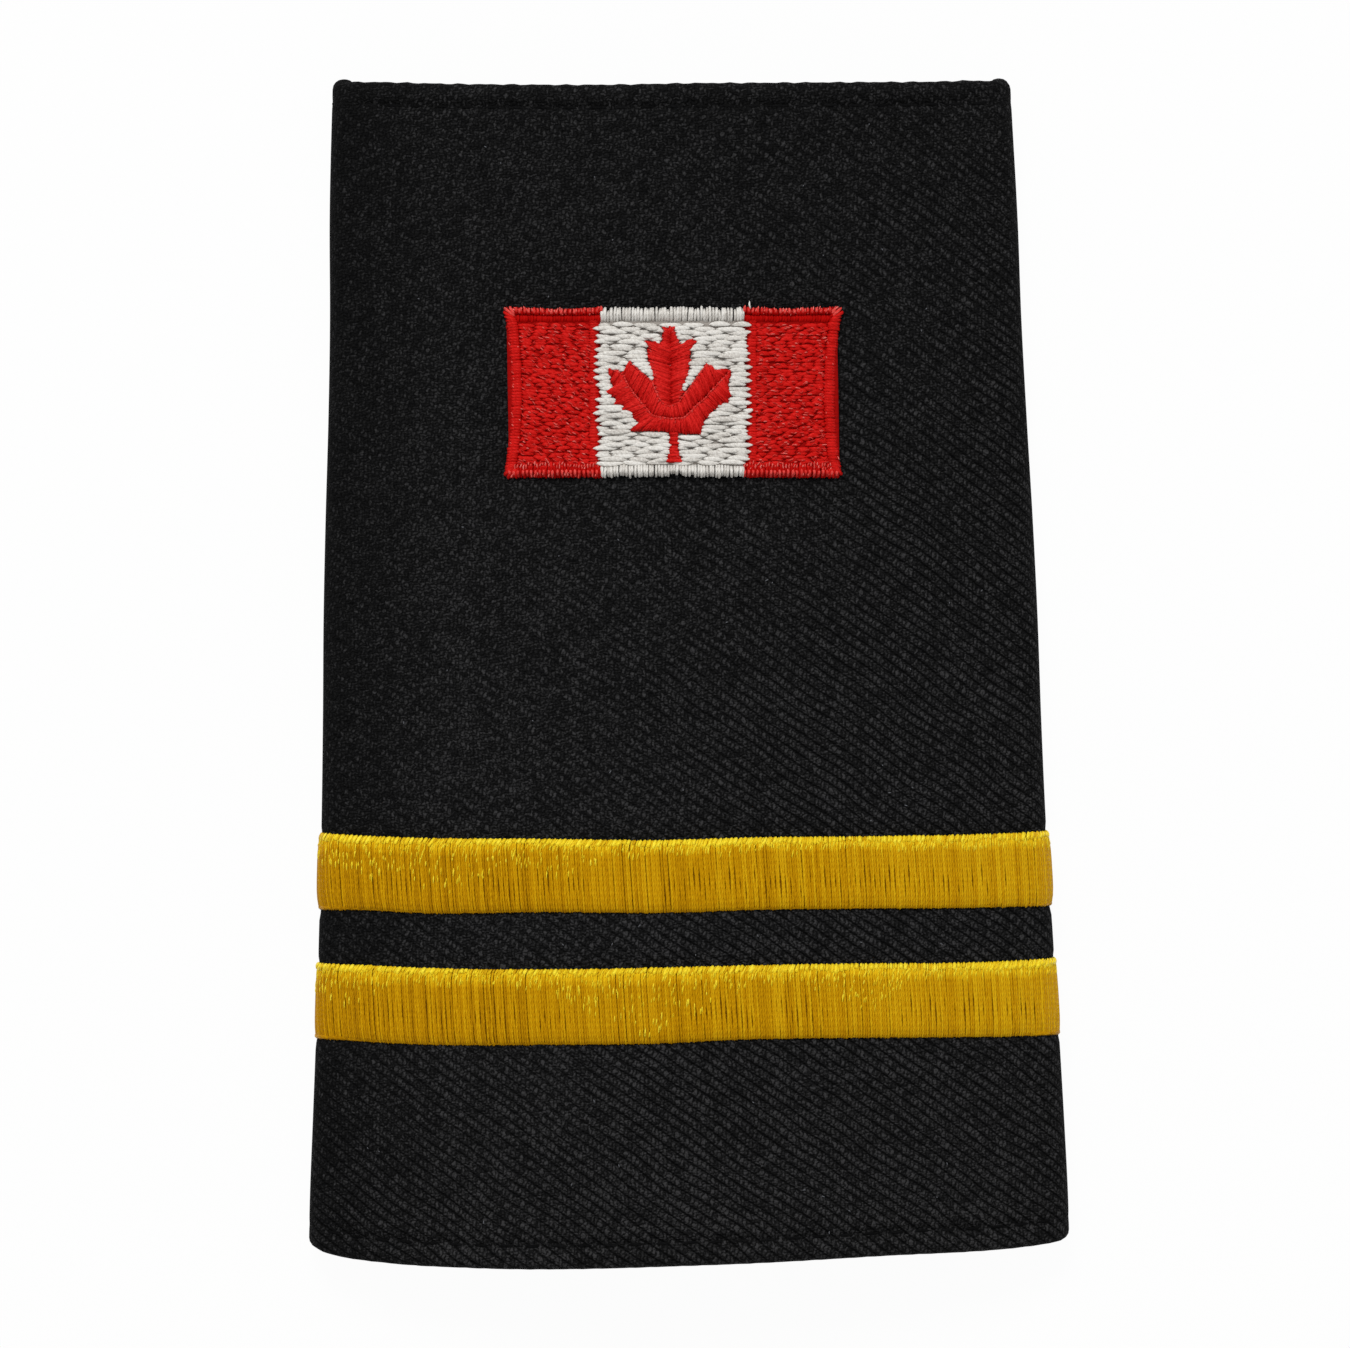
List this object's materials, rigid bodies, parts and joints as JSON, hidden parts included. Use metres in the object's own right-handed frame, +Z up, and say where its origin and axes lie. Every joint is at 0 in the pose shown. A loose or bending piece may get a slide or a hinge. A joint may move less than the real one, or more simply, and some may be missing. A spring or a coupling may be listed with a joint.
{
  "type": "rank slide",
  "caption": "Flat tapered tube of black twill that slips over a shoulder strap, with gold embroidered bars across its wide end and an embroidered maple-leaf flag near its narrow end.",
  "frame": {"origin": "under the middle of the slide's box, on the surface that it rests on", "axes": "+X across the slide, to the right as its front is read; +Y along it, towards its narrow end; +Z up, out of its front"},
  "size_m": [0.0642, 0.1, 0.0106],
  "materials": {
    "black_cloth": "matte cotton twill",
    "gold_thread": "glossy satin stitch",
    "red_thread": "glossy filling and satin stitch",
    "white_thread": "glossy filling and satin stitch"
  },
  "bodies": {
    "root": {"sleeve": "black_cloth", "bar_upper": "gold_thread", "bar_lower": "gold_thread", "flag_frame_left": "red_thread", "flag_frame_right": "red_thread", "flag_edge_top": "white_thread", "flag_edge_bottom": "white_thread", "flag_field_left": "red_thread", "flag_field_right": "red_thread", "flag_field_middle": "white_thread", "flag_leaf": "red_thread"}
  },
  "joints": []
}
